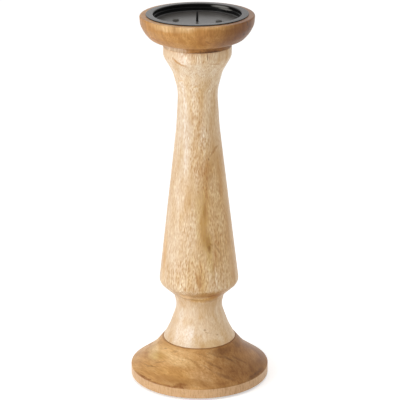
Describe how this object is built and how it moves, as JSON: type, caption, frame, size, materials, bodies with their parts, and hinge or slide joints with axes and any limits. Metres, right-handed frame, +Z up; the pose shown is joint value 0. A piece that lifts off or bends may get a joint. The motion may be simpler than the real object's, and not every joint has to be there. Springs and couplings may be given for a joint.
{
  "type": "pricket candle stand",
  "caption": "Turned wooden candle stand: disc base, baluster column and bowl-shaped cup, with a black pressed metal dish and a spike for a pillar candle.",
  "frame": {"origin": "on the floor, on the axis that the base, column and cup were turned about", "axes": "+Z up along the turning axis, +Y away from the picture's camera, +X to the picture's right"},
  "size_m": [0.1188, 0.1188, 0.3234],
  "materials": {
    "stained_wood": "honey brown stain under a thin satin lacquer",
    "pale_wood": "natural, sanded smooth, thin satin lacquer",
    "black_steel": "smooth black satin gloss coat",
    "zinc_steel": "dull zinc plate",
    "pad_rubber": "matt foam rubber"
  },
  "bodies": {
    "root": {"floor_pads": "pad_rubber", "base": "stained_wood", "base_washer": "zinc_steel", "base_screw": "zinc_steel", "column": "pale_wood", "cup": "stained_wood", "cup_washer": "zinc_steel", "cup_screw": "zinc_steel", "dish": "black_steel", "dish_screws": "black_steel", "spike_washer": "zinc_steel", "spike": "black_steel"}
  },
  "joints": []
}
